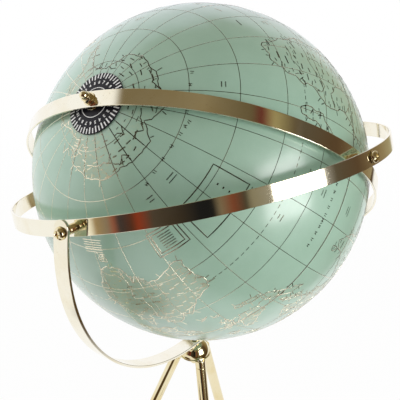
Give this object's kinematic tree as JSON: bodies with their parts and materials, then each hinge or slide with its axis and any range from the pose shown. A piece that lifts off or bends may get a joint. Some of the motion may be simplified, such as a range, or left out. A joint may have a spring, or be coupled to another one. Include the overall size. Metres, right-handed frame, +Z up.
{
  "type": "desktop globe on stand",
  "caption": "Terrestrial globe in a double-ring gimbal, on a half-round yoke and a tripod stand.",
  "frame": {"origin": "on the surface it stands on, directly under the centre of the globe", "axes": "+Z up, the yoke in the X-Z plane, one leg pointing near +X; the globe's south pole leans towards -X and +Z"},
  "size_m": [0.3136, 0.2756, 0.4542],
  "materials": {
    "brass_strip": "polished",
    "brass_cast": "polished",
    "brass_turned": "polished",
    "brass_tube": "polished",
    "steel_rod": "satin",
    "globe_print": "gloss varnish over a mint ground with gold foil print",
    "inner_plastic": "moulded",
    "bearing_plastic": "moulded",
    "dial_black": "gloss",
    "foot_rubber": "moulded"
  },
  "bodies": {
    "stand": {"hub": "brass_cast", "leg_right": "brass_tube", "leg_front": "brass_tube", "leg_back": "brass_tube", "leg_studs": "steel_rod", "foot_right": "foot_rubber", "foot_front": "foot_rubber", "foot_back": "foot_rubber", "yoke": "brass_strip", "yoke_bolt": "brass_turned", "hub_washer": "brass_turned", "hub_nut": "brass_turned"},
    "outer_gimbal": {"outer_ring": "brass_strip", "outer_bosses": "brass_turned", "outer_washers": "brass_turned", "outer_screws": "brass_turned"},
    "inner_gimbal": {"inner_ring": "brass_strip", "inner_bosses": "brass_turned", "inner_washers": "brass_turned", "inner_screws": "brass_turned", "axle_rod": "steel_rod", "pole_spacers": "brass_turned", "pole_washers": "brass_turned", "pole_nuts": "brass_turned"},
    "globe": {"globe_north": "globe_print", "globe_south": "globe_print", "equator_collar": "inner_plastic", "pole_bearings": "bearing_plastic"},
    "dial": {"hour_dial": "dial_black"}
  },
  "joints": [
    {"name": "outer_ring_tilt", "type": "hinge", "parent": "stand", "child": "outer_gimbal", "pos_m": [0, 0, 0.3292], "axis": [0.9945, 0, -0.1045], "continuous": true},
    {"name": "inner_ring_tilt", "type": "hinge", "parent": "outer_gimbal", "child": "inner_gimbal", "pos_m": [0, 0, 0.3292], "axis": [-0.0375, 0.9336, -0.3564], "continuous": true},
    {"name": "globe_spin", "type": "hinge", "parent": "inner_gimbal", "child": "globe", "pos_m": [0, 0, 0.3292], "axis": [0.7508, -0.1688, -0.6386], "continuous": true},
    {"name": "dial_turn", "type": "hinge", "parent": "globe", "child": "dial", "pos_m": [0, 0, 0.3292], "axis": [0.7508, -0.1688, -0.6386], "continuous": true}
  ]
}
